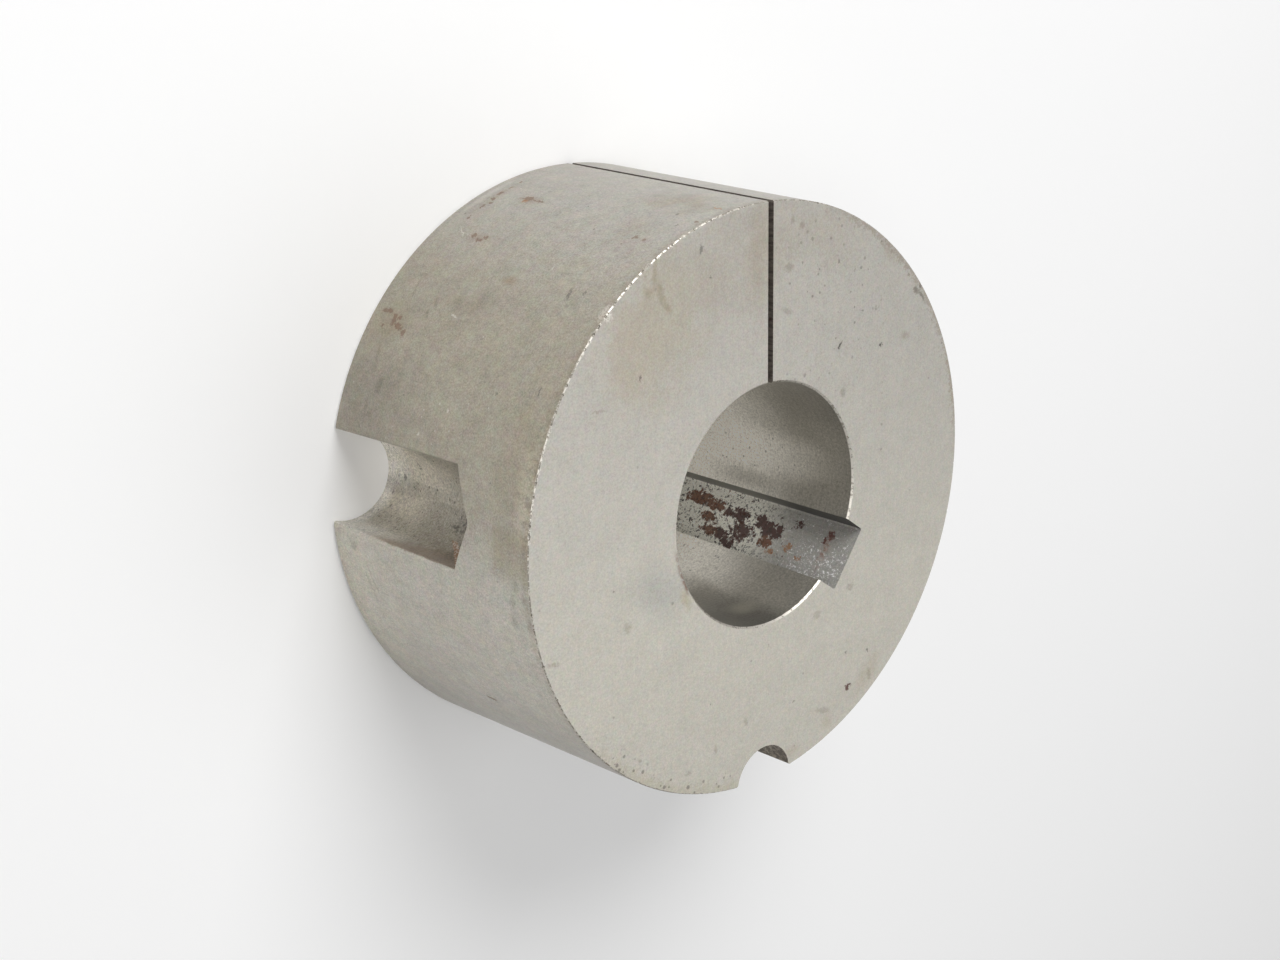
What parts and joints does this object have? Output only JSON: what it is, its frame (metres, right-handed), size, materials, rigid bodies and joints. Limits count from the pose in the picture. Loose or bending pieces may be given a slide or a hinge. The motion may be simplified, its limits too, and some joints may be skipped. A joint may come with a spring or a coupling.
{
  "type": "split taper bush",
  "caption": "One-piece split taper bush: tapered round body with a keyed bore, one saw cut through the wall and half-round screw holes on its rim.",
  "frame": {"origin": "centre of the bore in the plane of the large end, which it rests on", "axes": "+Z along the bore from the large end to the small end, +Y from the bore towards the split, +X to the right seen from the small end with the split up"},
  "size_m": [0.1078, 0.1076, 0.0508],
  "materials": {
    "bush_metal": "fine turned and ground, satin grey, lightly oxidised with small rust spots"
  },
  "bodies": {
    "root": {"taper_bush": "bush_metal"}
  },
  "joints": []
}
